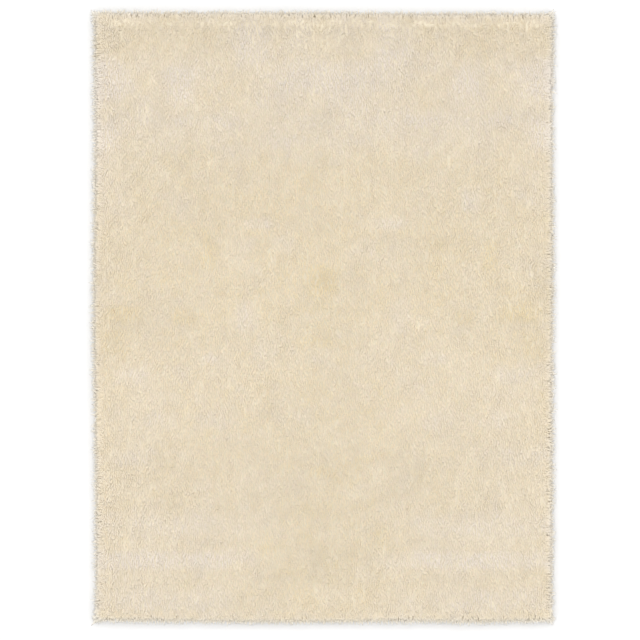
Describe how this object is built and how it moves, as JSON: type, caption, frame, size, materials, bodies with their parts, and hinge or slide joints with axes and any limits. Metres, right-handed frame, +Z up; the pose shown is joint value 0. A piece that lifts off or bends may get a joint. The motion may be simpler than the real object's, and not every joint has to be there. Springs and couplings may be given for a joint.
{
  "type": "shag rug",
  "caption": "Plain cream shag rug: a rectangular tufted cloth lying flat, with a thick soft pile that hangs a little past its edges.",
  "frame": {"origin": "on the floor under the middle of the rug's box, in the plane of its flat underside", "axes": "+Z up out of the pile, +Y along the rug's length, +X across it"},
  "size_m": [1.6468, 2.1786, 0.0316],
  "materials": {
    "cream_yarn": "matt cut pile of fine cream yarn"
  },
  "bodies": {
    "root": {"rug": "cream_yarn"}
  },
  "joints": []
}
